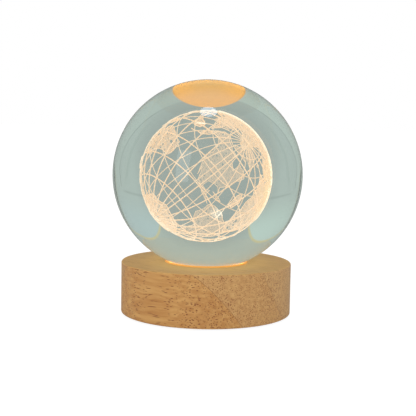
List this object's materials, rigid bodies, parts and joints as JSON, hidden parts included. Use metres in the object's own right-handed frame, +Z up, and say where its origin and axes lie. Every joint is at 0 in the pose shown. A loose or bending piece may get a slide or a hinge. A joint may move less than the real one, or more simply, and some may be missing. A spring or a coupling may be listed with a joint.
{
  "type": "crystal ball lamp",
  "caption": "Clear glass ball with an engraved globe inside, resting on a round wooden base that lights it from below.",
  "frame": {"origin": "on the table, under the middle of the round base", "axes": "+Z up through the middle of the base and the ball; the front is towards -Y and the power inlet faces +Y"},
  "size_m": [0.08, 0.08, 0.0987],
  "materials": {
    "base_wood": "turned and sanded pale rubberwood under a thin satin varnish",
    "lit_silicone": "milky silicone, lit warm from below",
    "crystal_glass": "polished optical glass",
    "engraving": "fine frosted cracks made inside the glass, lit warm",
    "white_plastic": "white moulded plastic",
    "frosted_plastic": "frosted, lit warm from behind",
    "white_board": "white solder mask on a circuit board",
    "green_board": "green solder mask on a circuit board",
    "phosphor": "yellow phosphor gel",
    "black_plastic": "black moulded plastic, fine grain",
    "plated_steel": "nickel plated",
    "red_insulation": "red wire insulation",
    "black_insulation": "black wire insulation",
    "solder": "bright solder",
    "foot_rubber": "soft anti-slip rubber"
  },
  "bodies": {
    "base": {"wooden_base": "base_wood", "light_holder": "white_plastic", "diffuser_lens": "frosted_plastic", "led_board": "white_board", "led_packages": "white_plastic", "led_phosphors": "phosphor", "resistors": "black_plastic", "board_screws": "plated_steel", "holder_screws": "plated_steel", "inlet_shell": "plated_steel", "inlet_tongue": "black_plastic", "inlet_bezel": "black_plastic", "inlet_board": "green_board", "inlet_board_screws": "plated_steel", "wire_red": "red_insulation", "wire_black": "black_insulation", "solder_joints": "solder", "bottom_cover": "black_plastic", "cover_screws": "plated_steel", "rubber_feet": "foot_rubber"},
    "dish": {"seat_dish": "lit_silicone"},
    "ball": {"crystal_ball": "crystal_glass", "engraved_meridians": "engraving", "engraved_parallels": "engraving", "engraved_land": "engraving"}
  },
  "joints": [
    {"name": "seat_turn", "type": "hinge", "parent": "base", "child": "dish", "pos_m": [0, 0, 0.0199], "axis": [0, 0, 1], "continuous": true},
    {"name": "ball_lift", "type": "slide", "parent": "dish", "child": "ball", "axis": [0, 0, 1], "range_m": [0, 0.05]}
  ]
}
